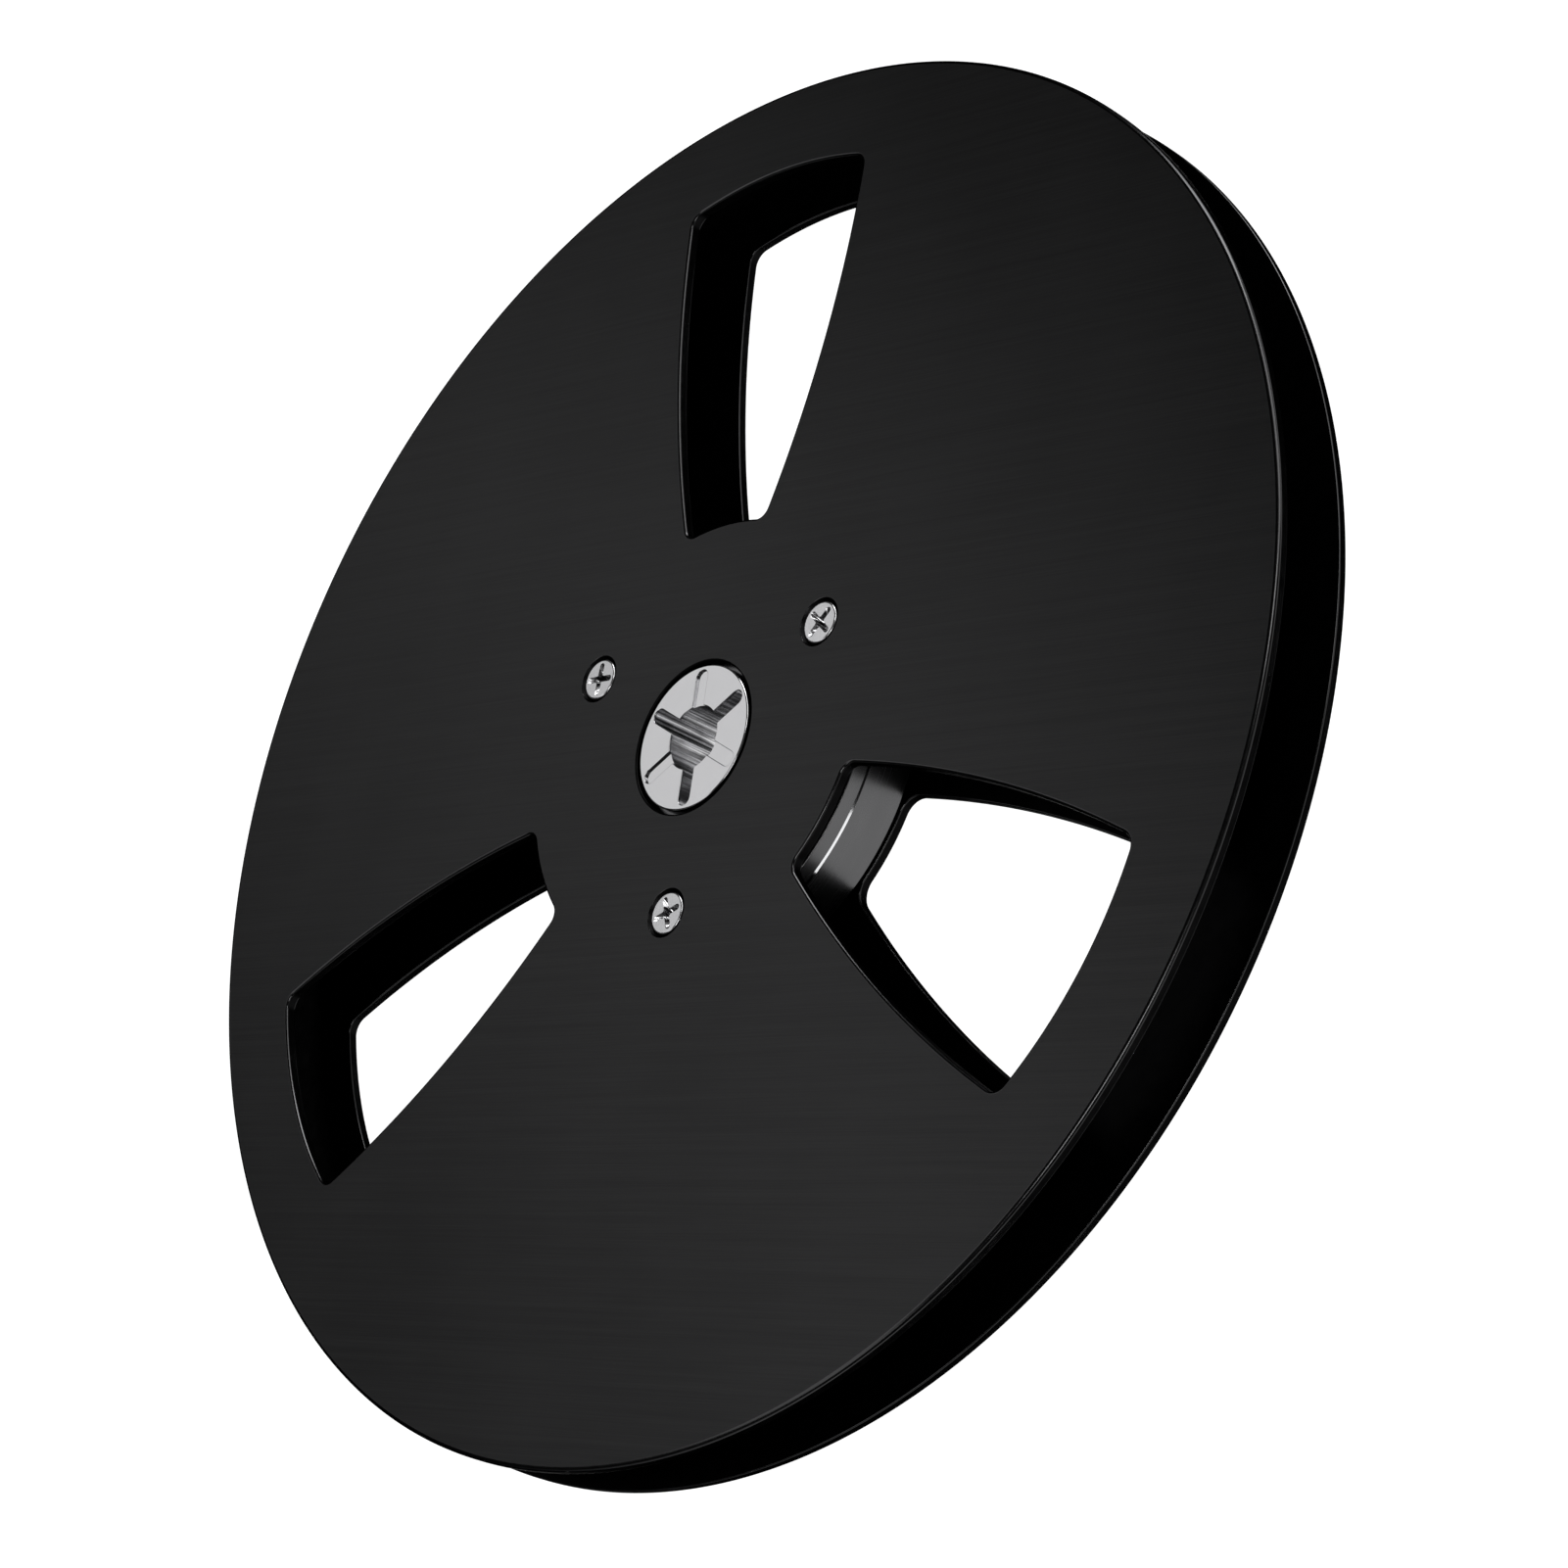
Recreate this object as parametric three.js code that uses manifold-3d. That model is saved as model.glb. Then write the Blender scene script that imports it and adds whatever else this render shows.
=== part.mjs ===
// An open-reel tape reel: two windowed flanges screwed to a hub drum around a plated spindle core.
// Millimetres. Z is the spindle axis; z = 0 is the outer face of the rear flange; +Z leaves the front.
// Spokes and screws stand at 0, 120 and 240 degrees, and the windows half way between them.
import * as THREE from 'three';
import { mergeVertices } from 'three/addons/utils/BufferGeometryUtils.js';
import Module from 'manifold-3d';

const wasm = await Module();
wasm.setup();

// Reel
const REEL_DIAMETER = 178;
const REEL_THICKNESS = 11.65;
const ARMS = 3;
const ARM_STEP = 360 / ARMS;
const WINDOW_ANGLE = ARM_STEP / 2;

// Flanges
const FLANGE_THICKNESS = 1.4;
const FLANGE_EDGE_BREAK = 0.35;
const SEAT_GAP = 0.01; // between a flange and the hub that it's clamped to

// Hub: a drum as wide as the tape, between a tall front collar that the drum's chamfer runs into and a
// low rear one set further in. The flanges lie on the collars.
const DRUM_DIAMETER = 57.3;
const DRUM_CHAMFER = 0.2;
const FRONT_COLLAR_HEIGHT = 1.96;
const REAR_COLLAR_HEIGHT = 0.54;
const REAR_COLLAR_STEP = 1.2;
const HUB_EDGE_BREAK = 0.12;

// Spindle core
const CORE_DIAMETER = 18.6;
const CORE_FIT = 0.03; // radial, in the hub's bore
const CORE_EYE_GAP = 0.5; // radial, between the core and the eye of each flange
const CORE_RECESS = 0.03; // how far each end lies below the flange beside it
const CORE_EDGE_BREAK = 0.2;
const BORE_DIAMETER = 8.2;
const SLOT_WIDTH = 1.95;
const SLOT_WALL = 0.55; // left between the end of a slot and the outside of the core
const GROOVE_DEPTH = 0.3;

// Windows
const WINDOW_LEDGE = 0.25; // how far the front collar shows inside the windows
const RIM_WIDTH = 11.8;
const WINDOW_HALF_WIDTH_INNER = 7.0;
const WINDOW_HALF_WIDTH_OUTER = 15.45;
const WINDOW_SHOULDER = 3.4; // from the outer arc back to where the outer half width is taken
const WINDOW_SIDE_BULGE = 1.8; // of a side's middle, out from its own chord
const WINDOW_OUTER_ARC_RADIUS = 56;
const WINDOW_OUTER_FILLET = 2.0;
const FRONT_WINDOW = { inset: 0, innerFillet: 1.7 };
const REAR_WINDOW = { inset: 0.4, innerFillet: 2.6 }; // smaller all round, and rounder by the hub

// Screws: countersunk, with a cross recess
const SCREW_INSET = 6.05; // from the front collar's edge to the screw's axis
const SCREW_RADIUS = 1.45;
const SCREW_HEAD_RADIUS = 2.66;
const SCREW_HEAD_FLAT_RADIUS = 2.4;
const SCREW_HEAD_SHOULDER = 0.3; // height of the head's rounded shoulder
const SCREW_HEAD_RECESS = 0.1; // how far the head lies below the flange
const SCREW_FIT = 0.04; // radial, in its hole and in the countersink
const SCREW_POINT_GAP = 0.8; // from a screw's point to the reel's middle plane
const SCREW_POINT_CHAMFER = 0.4;
const RECESS_WIDTH = 0.62;
const RECESS_SPAN_TOP = 3.3;
const RECESS_SPAN_BOTTOM = 1.3;
const RECESS_DEPTH = 1.05;
const FRONT_RECESS_TURNS = [17, 26, 18];
const REAR_RECESS_TURNS = [52, 71, 8];

// Sizes that follow from those above
const REEL_RADIUS = REEL_DIAMETER / 2;
const HALF_THICKNESS = REEL_THICKNESS / 2;
const HALF_HUB_WIDTH = HALF_THICKNESS - FLANGE_THICKNESS - SEAT_GAP;
const DRUM_RADIUS = DRUM_DIAMETER / 2;
const FRONT_COLLAR_RADIUS = DRUM_RADIUS - DRUM_CHAMFER;
const REAR_COLLAR_RADIUS = DRUM_RADIUS - REAR_COLLAR_STEP;
const DRUM_TOP = HALF_HUB_WIDTH - FRONT_COLLAR_HEIGHT;
const DRUM_BOTTOM = REAR_COLLAR_HEIGHT - HALF_HUB_WIDTH;
const CORE_RADIUS = CORE_DIAMETER / 2;
const BORE_RADIUS = BORE_DIAMETER / 2;
const HALF_SLOT = SLOT_WIDTH / 2;
const SLOT_END_RADIUS = CORE_RADIUS - SLOT_WALL;
const EYE_RADIUS = CORE_RADIUS + CORE_EYE_GAP;
const WINDOW_INNER_RADIUS = FRONT_COLLAR_RADIUS - WINDOW_LEDGE;
const WINDOW_OUTER_RADIUS = REEL_RADIUS - RIM_WIDTH;
const SCREW_CIRCLE_RADIUS = FRONT_COLLAR_RADIUS - SCREW_INSET;
const SCREW_HOLE_RADIUS = SCREW_RADIUS + SCREW_FIT;
const SCREW_HEAD_CONE_TOP = SCREW_HEAD_RECESS + SCREW_HEAD_SHOULDER; // depth below the flange's face
const SCREW_HEAD_CONE_END = SCREW_HEAD_CONE_TOP + SCREW_HEAD_RADIUS - SCREW_RADIUS;
const COUNTERSINK_RADIUS = SCREW_HEAD_RADIUS + SCREW_FIT + SCREW_HEAD_CONE_TOP;

// Facets
const RIM_FACETS = 144;
const CORE_FACETS = 96;
const SCREW_FACETS = 36;
const END_FACETS = 8;
const CUT_MARGIN = 1; // how far a cutting shape runs past the face that it cuts

const toRadians = THREE.MathUtils.degToRad;

// Points along an arc, both ends included.
function arc(centre, radius, from, to, steps) {
  return Array.from({ length: steps + 1 }, (_, i) => {
    const angle = from + (to - from) * i / steps;
    return new THREE.Vector2(Math.cos(angle), Math.sin(angle)).multiplyScalar(radius).add(centre);
  });
}

const AXIS = new THREE.Vector2(0, 0);

function circle(radius, facets) {
  return arc(AXIS, radius, 0, 2 * Math.PI, facets).slice(0, -1);
}

// Copies of an outline round the axis, the first one turned by `from` degrees.
function roundTheAxis(points, from = 0) {
  return Array.from({ length: ARMS }, (_, i) => (
    points.map((p) => p.clone().rotateAround(AXIS, toRadians(from + i * ARM_STEP)))
  ));
}

// A solid from a closed three.js geometry whose faces point outwards.
function solidFrom(geometry) {
  geometry.deleteAttribute('normal');
  geometry.deleteAttribute('uv');
  const merged = mergeVertices(geometry, 1e-5);
  return new wasm.Manifold(new wasm.Mesh({
    numProp: 3,
    vertProperties: merged.attributes.position.array,
    triVerts: merged.index.array,
  }));
}

// A plate between two heights, its outline and its holes broken by edgeBreak at both faces.
function plate(outline, holes, bottom, top, edgeBreak = 0) {
  const shape = new THREE.Shape(outline);
  shape.holes = holes.map((points) => new THREE.Path(points));
  const geometry = new THREE.ExtrudeGeometry(shape, {
    depth: top - bottom - 2 * edgeBreak,
    bevelEnabled: edgeBreak > 0,
    bevelThickness: edgeBreak,
    bevelSize: edgeBreak,
    bevelOffset: -edgeBreak,
    bevelSegments: 1,
  });
  return solidFrom(geometry.translate(0, 0, bottom + edgeBreak));
}

// A solid turned about Z from [radius, height] pairs, listed from the bottom of the axis to its top.
function turned(profile, facets) {
  const points = profile.map(([radius, height]) => new THREE.Vector2(radius, height));
  return solidFrom(new THREE.LatheGeometry(points, facets).rotateX(Math.PI / 2));
}

// Cuts one copy of a tool at every screw.
function cutAtScrews(solid, tool) {
  let result = solid;
  for (let i = 0; i < ARMS; i += 1) {
    result = result.subtract(tool.translate([SCREW_CIRCLE_RADIUS, 0, 0]).rotate([0, 0, i * ARM_STEP]));
  }
  return result;
}

// Where two circles cross, on the side of larger y.
function crossing(centreA, radiusA, centreB, radiusB) {
  const between = centreB.clone().sub(centreA);
  const distance = between.length();
  const along = (radiusA ** 2 - radiusB ** 2 + distance ** 2) / (2 * distance);
  const across = Math.sqrt(radiusA ** 2 - along ** 2);
  between.normalize();
  const foot = centreA.clone().addScaledVector(between, along);
  const sideways = new THREE.Vector2(-between.y, between.x);
  return foot.addScaledVector(sideways, sideways.y > 0 ? across : -across);
}

// One window along +X: an arc round the hub, two bulging sides, a bulging outer arc, rounded corners.
function windowOutline({ inset, innerFillet }) {
  const start = new THREE.Vector2(WINDOW_INNER_RADIUS, WINDOW_HALF_WIDTH_INNER);
  const end = new THREE.Vector2(WINDOW_OUTER_RADIUS - WINDOW_SHOULDER, WINDOW_HALF_WIDTH_OUTER);
  const chord = end.clone().sub(start);
  const bulgeRadius = ((chord.length() / 2) ** 2 + WINDOW_SIDE_BULGE ** 2) / (2 * WINDOW_SIDE_BULGE);
  const inwards = new THREE.Vector2(chord.y, -chord.x).normalize();
  const side = start.lerp(end, 0.5).addScaledVector(inwards, bulgeRadius - WINDOW_SIDE_BULGE);
  const outer = new THREE.Vector2(WINDOW_OUTER_RADIUS - WINDOW_OUTER_ARC_RADIUS, 0);
  const innerRadius = WINDOW_INNER_RADIUS + inset;
  const sideRadius = bulgeRadius - inset;
  const outerRadius = WINDOW_OUTER_ARC_RADIUS - inset;

  const innerCorner = crossing(AXIS, innerRadius + innerFillet, side, sideRadius - innerFillet);
  const outerCorner = crossing(
    outer, outerRadius - WINDOW_OUTER_FILLET, side, sideRadius - WINDOW_OUTER_FILLET,
  );
  const hubEnd = innerCorner.angle();
  const sideStart = innerCorner.clone().sub(side).angle();
  const sideEnd = outerCorner.clone().sub(side).angle();
  const outerStart = outerCorner.clone().sub(outer).angle();
  const half = [
    ...arc(AXIS, innerRadius, 0, hubEnd, 4),
    ...arc(innerCorner, innerFillet, hubEnd + Math.PI, sideStart, 4).slice(1),
    ...arc(side, sideRadius, sideStart, sideEnd, 12).slice(1),
    ...arc(outerCorner, WINDOW_OUTER_FILLET, sideEnd, outerStart, 5).slice(1),
    ...arc(outer, outerRadius, outerStart, 0, 8).slice(1),
  ];
  const otherHalf = half.slice(1, -1).reverse().map((p) => new THREE.Vector2(p.x, -p.y));
  return [...half, ...otherHalf];
}

// A flange above the reel's middle plane: its eye clears the core, its screw holes are countersunk.
function flangeSolid(window) {
  const bottom = HALF_THICKNESS - FLANGE_THICKNESS;
  const holes = [circle(EYE_RADIUS, CORE_FACETS), ...roundTheAxis(windowOutline(window), WINDOW_ANGLE)];
  const blank = plate(circle(REEL_RADIUS, RIM_FACETS), holes, bottom, HALF_THICKNESS, FLANGE_EDGE_BREAK);
  const throughRadius = SCREW_HOLE_RADIUS + 2 * SCREW_FIT;
  return cutAtScrews(blank, turned([
    [0, bottom - CUT_MARGIN],
    [throughRadius, bottom - CUT_MARGIN],
    [throughRadius, HALF_THICKNESS - COUNTERSINK_RADIUS + throughRadius],
    [COUNTERSINK_RADIUS, HALF_THICKNESS],
    [COUNTERSINK_RADIUS, HALF_THICKNESS + CUT_MARGIN],
    [0, HALF_THICKNESS + CUT_MARGIN],
  ], SCREW_FACETS));
}

// The drum and its two collars in one turned piece, bored for the core and drilled for the screws.
function hubSolid() {
  const drum = turned([
    [0, -HALF_HUB_WIDTH],
    [REAR_COLLAR_RADIUS - HUB_EDGE_BREAK, -HALF_HUB_WIDTH],
    [REAR_COLLAR_RADIUS, HUB_EDGE_BREAK - HALF_HUB_WIDTH],
    [REAR_COLLAR_RADIUS, DRUM_BOTTOM],
    [DRUM_RADIUS - HUB_EDGE_BREAK, DRUM_BOTTOM],
    [DRUM_RADIUS, DRUM_BOTTOM + HUB_EDGE_BREAK],
    [DRUM_RADIUS, DRUM_TOP - DRUM_CHAMFER],
    [FRONT_COLLAR_RADIUS, DRUM_TOP],
    [FRONT_COLLAR_RADIUS, HALF_HUB_WIDTH - HUB_EDGE_BREAK],
    [FRONT_COLLAR_RADIUS - HUB_EDGE_BREAK, HALF_HUB_WIDTH],
    [0, HALF_HUB_WIDTH],
  ], CORE_FACETS);
  const boreOutline = circle(CORE_RADIUS + CORE_FIT, CORE_FACETS);
  const bore = plate(boreOutline, [], -HALF_HUB_WIDTH - CUT_MARGIN, HALF_HUB_WIDTH + CUT_MARGIN);
  const mouth = Math.max(0, SCREW_HEAD_CONE_END - FLANGE_THICKNESS) + SCREW_FIT;
  return cutAtScrews(drum.subtract(bore), turned([
    [0, -HALF_HUB_WIDTH - CUT_MARGIN],
    [SCREW_HOLE_RADIUS + mouth + CUT_MARGIN, -HALF_HUB_WIDTH - CUT_MARGIN],
    [SCREW_HOLE_RADIUS, -HALF_HUB_WIDTH + mouth],
    [SCREW_HOLE_RADIUS, HALF_HUB_WIDTH - mouth],
    [SCREW_HOLE_RADIUS + mouth + CUT_MARGIN, HALF_HUB_WIDTH + CUT_MARGIN],
    [0, HALF_HUB_WIDTH + CUT_MARGIN],
  ], SCREW_FACETS));
}

// The plated core: a bore with three slots through it, and three shallow grooves across each end.
function coreSolid() {
  const halfLength = HALF_THICKNESS - CORE_RECESS;
  const slotEndCentre = new THREE.Vector2(SLOT_END_RADIUS - HALF_SLOT, 0);
  const slotEnd = arc(slotEndCentre, HALF_SLOT, -Math.PI / 2, Math.PI / 2, END_FACETS);
  const slotMouth = Math.asin(HALF_SLOT / BORE_RADIUS);
  const toNextSlot = arc(AXIS, BORE_RADIUS, slotMouth, toRadians(ARM_STEP) - slotMouth, 2 * END_FACETS);
  const bore = roundTheAxis([...slotEnd, ...toNextSlot]).flat();
  let core = plate(circle(CORE_RADIUS, CORE_FACETS), [bore], -halfLength, halfLength, CORE_EDGE_BREAK);

  const groove = [...slotEnd, new THREE.Vector2(0, HALF_SLOT), new THREE.Vector2(0, -HALF_SLOT)];
  const grooveFloor = halfLength - GROOVE_DEPTH;
  for (const outline of roundTheAxis(groove, WINDOW_ANGLE)) {
    core = core.subtract(plate(outline, [], grooveFloor, halfLength + CUT_MARGIN));
    core = core.subtract(plate(outline, [], -halfLength - CUT_MARGIN, -grooveFloor));
  }
  return core;
}

// A countersunk screw, its axis along Z and the flat of its head at z = 0. Each arm of its recess
// is narrower and shorter towards the bottom.
function screwSolid() {
  const point = SCREW_POINT_GAP - HALF_THICKNESS + SCREW_HEAD_RECESS;
  const body = turned([
    [0, point],
    [SCREW_RADIUS - SCREW_POINT_CHAMFER, point],
    [SCREW_RADIUS, point + SCREW_POINT_CHAMFER],
    [SCREW_RADIUS, SCREW_HEAD_RECESS - SCREW_HEAD_CONE_END],
    [SCREW_HEAD_RADIUS, -SCREW_HEAD_SHOULDER],
    [SCREW_HEAD_RADIUS - SCREW_FIT, -SCREW_HEAD_SHOULDER / 2],
    [SCREW_HEAD_FLAT_RADIUS, 0],
    [0, 0],
  ], SCREW_FACETS);
  const slope = (RECESS_SPAN_TOP - RECESS_SPAN_BOTTOM) / 2 / RECESS_DEPTH;
  const halfMouth = RECESS_SPAN_TOP / 2 + slope * CUT_MARGIN;
  const armOutline = [
    new THREE.Vector2(-RECESS_SPAN_BOTTOM / 2, -RECESS_DEPTH),
    new THREE.Vector2(RECESS_SPAN_BOTTOM / 2, -RECESS_DEPTH),
    new THREE.Vector2(halfMouth, CUT_MARGIN),
    new THREE.Vector2(-halfMouth, CUT_MARGIN),
  ];
  const arm = plate(armOutline, [], -RECESS_WIDTH / 2, RECESS_WIDTH / 2).rotate([90, 0, 0]);
  return body.subtract(arm).subtract(arm.rotate([0, 0, 90]));
}

const materials = {
  anodisedFlange: { color: 0x232426, roughness: 0.42, metalness: 0.7 },
  anodisedHub: { color: 0x17181a, roughness: 0.3, metalness: 0.7 },
  platedCore: { color: 0xd2d4d6, roughness: 0.14, metalness: 1 },
  platedScrew: { color: 0xb4b6b9, roughness: 0.3, metalness: 1 },
};

function meshFrom(name, solid, material) {
  const { vertProperties, triVerts } = solid.getMesh();
  const geometry = new THREE.BufferGeometry();
  geometry.setAttribute('position', new THREE.BufferAttribute(vertProperties, 3));
  geometry.setIndex(new THREE.BufferAttribute(triVerts, 1));
  const mesh = new THREE.Mesh(geometry, new THREE.MeshStandardMaterial(material));
  mesh.name = name;
  return mesh;
}

// One side of the reel, above its middle plane: a flange and the screws that clamp it to the hub.
function makeSide(name, recessTurns, window) {
  const side = new THREE.Group();
  side.add(meshFrom(`${name}_flange`, flangeSolid(window), materials.anodisedFlange));
  recessTurns.forEach((turn, i) => {
    const screw = meshFrom(`${name}_screw_${i + 1}`, screwSolid(), materials.platedScrew);
    screw.position.set(SCREW_CIRCLE_RADIUS, 0, HALF_THICKNESS - SCREW_HEAD_RECESS);
    screw.rotation.z = toRadians(turn);
    const arm = new THREE.Group();
    arm.rotation.z = toRadians(i * ARM_STEP);
    arm.add(screw);
    side.add(arm);
  });
  return side;
}

const reel = new THREE.Group();
reel.position.z = HALF_THICKNESS;
reel.add(meshFrom('hub_drum', hubSolid(), materials.anodisedHub));
reel.add(meshFrom('spindle_core', coreSolid(), materials.platedCore));
reel.add(makeSide('front', FRONT_RECESS_TURNS, FRONT_WINDOW));
const rearSide = makeSide('rear', REAR_RECESS_TURNS, REAR_WINDOW);
rearSide.rotation.x = Math.PI;
reel.add(rearSide);

export default reel;
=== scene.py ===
# An empty metal take-up reel for quarter-inch tape: two black brushed flanges on a black hub drum, with
# a bright spindle core and six cross-recess screws. It lies on its rear flange; +Z is the spindle axis.
# Lengths are metres. A point across the reel is a complex number, x + iy.
import math

import bpy
import numpy as np
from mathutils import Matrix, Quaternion, Vector, geometry


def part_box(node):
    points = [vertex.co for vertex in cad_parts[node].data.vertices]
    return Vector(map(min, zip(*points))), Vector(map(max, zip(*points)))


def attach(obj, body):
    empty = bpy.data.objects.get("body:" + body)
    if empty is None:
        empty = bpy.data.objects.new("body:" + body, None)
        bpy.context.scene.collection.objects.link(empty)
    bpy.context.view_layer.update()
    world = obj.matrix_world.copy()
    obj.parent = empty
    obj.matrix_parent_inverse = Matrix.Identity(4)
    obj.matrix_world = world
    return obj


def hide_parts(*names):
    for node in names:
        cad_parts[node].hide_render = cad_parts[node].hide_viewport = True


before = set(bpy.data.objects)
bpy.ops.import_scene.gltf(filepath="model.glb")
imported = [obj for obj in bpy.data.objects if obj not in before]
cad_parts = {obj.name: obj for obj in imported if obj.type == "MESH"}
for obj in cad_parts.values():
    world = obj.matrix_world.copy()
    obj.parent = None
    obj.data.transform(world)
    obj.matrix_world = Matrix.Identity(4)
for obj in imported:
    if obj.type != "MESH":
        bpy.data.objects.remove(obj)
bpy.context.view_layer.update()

MM = 0.001
DEGREE = math.pi / 180

# ---------------------------------------------------------------------------------------------------
# Flanges: two discs pressed from aluminium sheet, each with three windows, an eye for the core and three
# countersunk holes, anodised black. The outer faces are brushed in straight lines and their edges are
# rounded over and smooth. The cut walls, the far part of each rounding, the eye's edge and the inner faces
# get a near-black that is painted shade. Screws hold them to the hub.
# ---------------------------------------------------------------------------------------------------
rear_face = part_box("rear_flange")[0].z
front_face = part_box("front_flange")[1].z
middle = (rear_face + front_face) / 2
half_thickness = (front_face - rear_face) / 2
flange_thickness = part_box("rear_flange")[1].z - rear_face
reel_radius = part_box("front_flange")[1].x
drum_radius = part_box("hub_drum")[1].x
core_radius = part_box("spindle_core")[1].x
screw_low, screw_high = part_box("front_screw_1")
screw_circle_radius = (screw_low.x + screw_high.x) / 2
head_radius = (screw_high.x - screw_low.x) / 2

arm_angles = np.radians([0, 120, 240])
window_angles = np.radians([60, 180, 300])
eye_radius = core_radius + 0.5 * MM
rim_edge_round = 0.54 * MM
window_edge_round = 0.36 * MM
eye_edge_round = 0.25 * MM
arris_round = 0.16 * MM
# Degrees of an edge's rounding, from the face, that keep the smooth black; past them it gets painted shade.
lit_rounding_degrees = 75

drum_chamfer = 0.2 * MM
front_collar_radius = drum_radius - drum_chamfer
window_hub_radius = front_collar_radius - 0.25 * MM
window_reach = reel_radius - 11.8 * MM
window_outer_arc = 56 * MM
window_outer_corner = 2.0 * MM
window_side_bulge = 1.8 * MM
window_side_start = complex(window_hub_radius, 7.0 * MM)
window_side_end = complex(window_reach - 3.4 * MM, 15.45 * MM)


def arc(centre, radius, start, end, steps, void=1):
    """Points centre + radius e^(ia), for a from start up to but not at end, and the way out of the metal
    there: e^(ia) where the void lies outside the circle (void=1), and against it where it lies inside."""
    turn = np.exp(1j * np.linspace(start, end, steps, endpoint=False))
    return centre + radius * turn, void * turn


def joined(*stretches):
    """One path from stretches of points and ways out, laid end to end."""
    return tuple(np.concatenate(part) for part in zip(*stretches))


def ring(radius, steps, centre=0, void=1):
    """A whole circle as a path: an arc from no turn to a full one."""
    return arc(centre, radius, 0, 2 * math.pi, steps, void)


def turned_by(path, angle):
    """The path turned round the axis: both the points and the ways out times e^(i angle)."""
    return tuple(part * np.exp(1j * angle) for part in path)


def crossing(centre_a, radius_a, centre_b, radius_b):
    """Where two circles cross, on the side of larger y: a foot on the line between the centres, and a
    step off it at a right angle."""
    between = centre_b - centre_a
    apart = abs(between)
    along = (radius_a**2 - radius_b**2 + apart**2) / (2 * apart)
    sideways = 1j * between / apart
    if sideways.imag < 0:
        sideways = -sideways
    return centre_a + between / apart * along + sideways * math.sqrt(radius_a**2 - along**2)


def window_path(inset, hub_corner):
    """One window along +X, as arcs that run into each other: round the hub, a corner, a bulging side, a
    corner and a bulging outer arc, then the same mirrored. A side is the circle through its two ends
    whose middle stands out by the bulge: its radius is (half chord squared + bulge squared) / (2 bulge).
    An inset makes the window smaller all round."""
    chord = window_side_end - window_side_start
    side_radius = (abs(chord / 2) ** 2 + window_side_bulge**2) / (2 * window_side_bulge)
    middle_of_side = (window_side_start + window_side_end) / 2
    side = middle_of_side - 1j * chord / abs(chord) * (side_radius - window_side_bulge)
    outer = window_reach - window_outer_arc
    hub_radius = window_hub_radius + inset
    side_radius = side_radius - inset
    outer_radius = window_outer_arc - inset
    near = crossing(0, hub_radius + hub_corner, side, side_radius - hub_corner)
    far = crossing(outer, outer_radius - window_outer_corner, side, side_radius - window_outer_corner)
    hub_turn = np.angle(near)
    side_start = np.angle(near - side)
    side_end = np.angle(far - side)
    outer_turn = np.angle(far - outer)
    half = joined(
        arc(0, hub_radius, 0, hub_turn, 24),
        arc(near, hub_corner, hub_turn + math.pi, side_start, 16, void=-1),
        arc(side, side_radius, side_start, side_end, 72, void=-1),
        arc(far, window_outer_corner, side_end, outer_turn, 16, void=-1),
        arc(outer, outer_radius, outer_turn, 0, 32, void=-1),
        ([complex(outer + outer_radius, 0)], [-1]),
    )
    return joined(half, tuple(np.conj(part[-2:0:-1]) for part in half))


def straight(start, end):
    """A straight stretch of a section from start to end; the way out lies to the left of travel."""
    way = (end - start) / abs(end - start)
    return np.array([start, end]), np.full(2, way * 1j)


def rounding(centre, radius, start, end, steps=6, void=1):
    """A round stretch of a section, both ends included: centre + radius e^(ia), for a in degrees."""
    turn = np.exp(1j * np.radians(np.linspace(start, end, steps + 1)))
    return centre + radius * turn, void * turn


def band(path, section, finish=0):
    """Carries a section along a closed path. A section's real part is how far out of the path's line it
    lies and its imaginary part is height. The normal is the section's, leant along the way out."""
    (line, out), (offset, tilt) = path, section
    across = line + out * offset.real[:, None]
    lean = out * tilt.real[:, None]
    height = np.broadcast_to(offset.imag[:, None], across.shape)
    rise = np.broadcast_to(tilt.imag[:, None], across.shape)
    points = np.stack([across.real, across.imag, height], -1).reshape(-1, 3)
    normals = np.stack([lean.real, lean.imag, rise], -1).reshape(-1, 3)
    rows, columns = across.shape
    index = np.arange(rows * columns).reshape(rows, columns)
    after = np.roll(index, -1, axis=1)
    quads = np.stack([index[:-1], after[:-1], after[1:], index[1:]], -1).reshape(-1, 4)
    return points, normals, quads, finish


def carried(outlines):
    """Every outline's section carried along its path, and the lines that the flats end on: the path moved
    out by its section's first offset, and by its last."""
    sheets = [band(path, stretch, finish) for path, section, finishes in outlines
              for stretch, finish in zip(section, finishes)]
    firsts = [line + out * section[0][0][0].real for (line, out), section, _ in outlines]
    lasts = [line + out * section[-1][0][-1].real for (line, out), section, _ in outlines]
    return sheets, firsts, lasts


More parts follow.
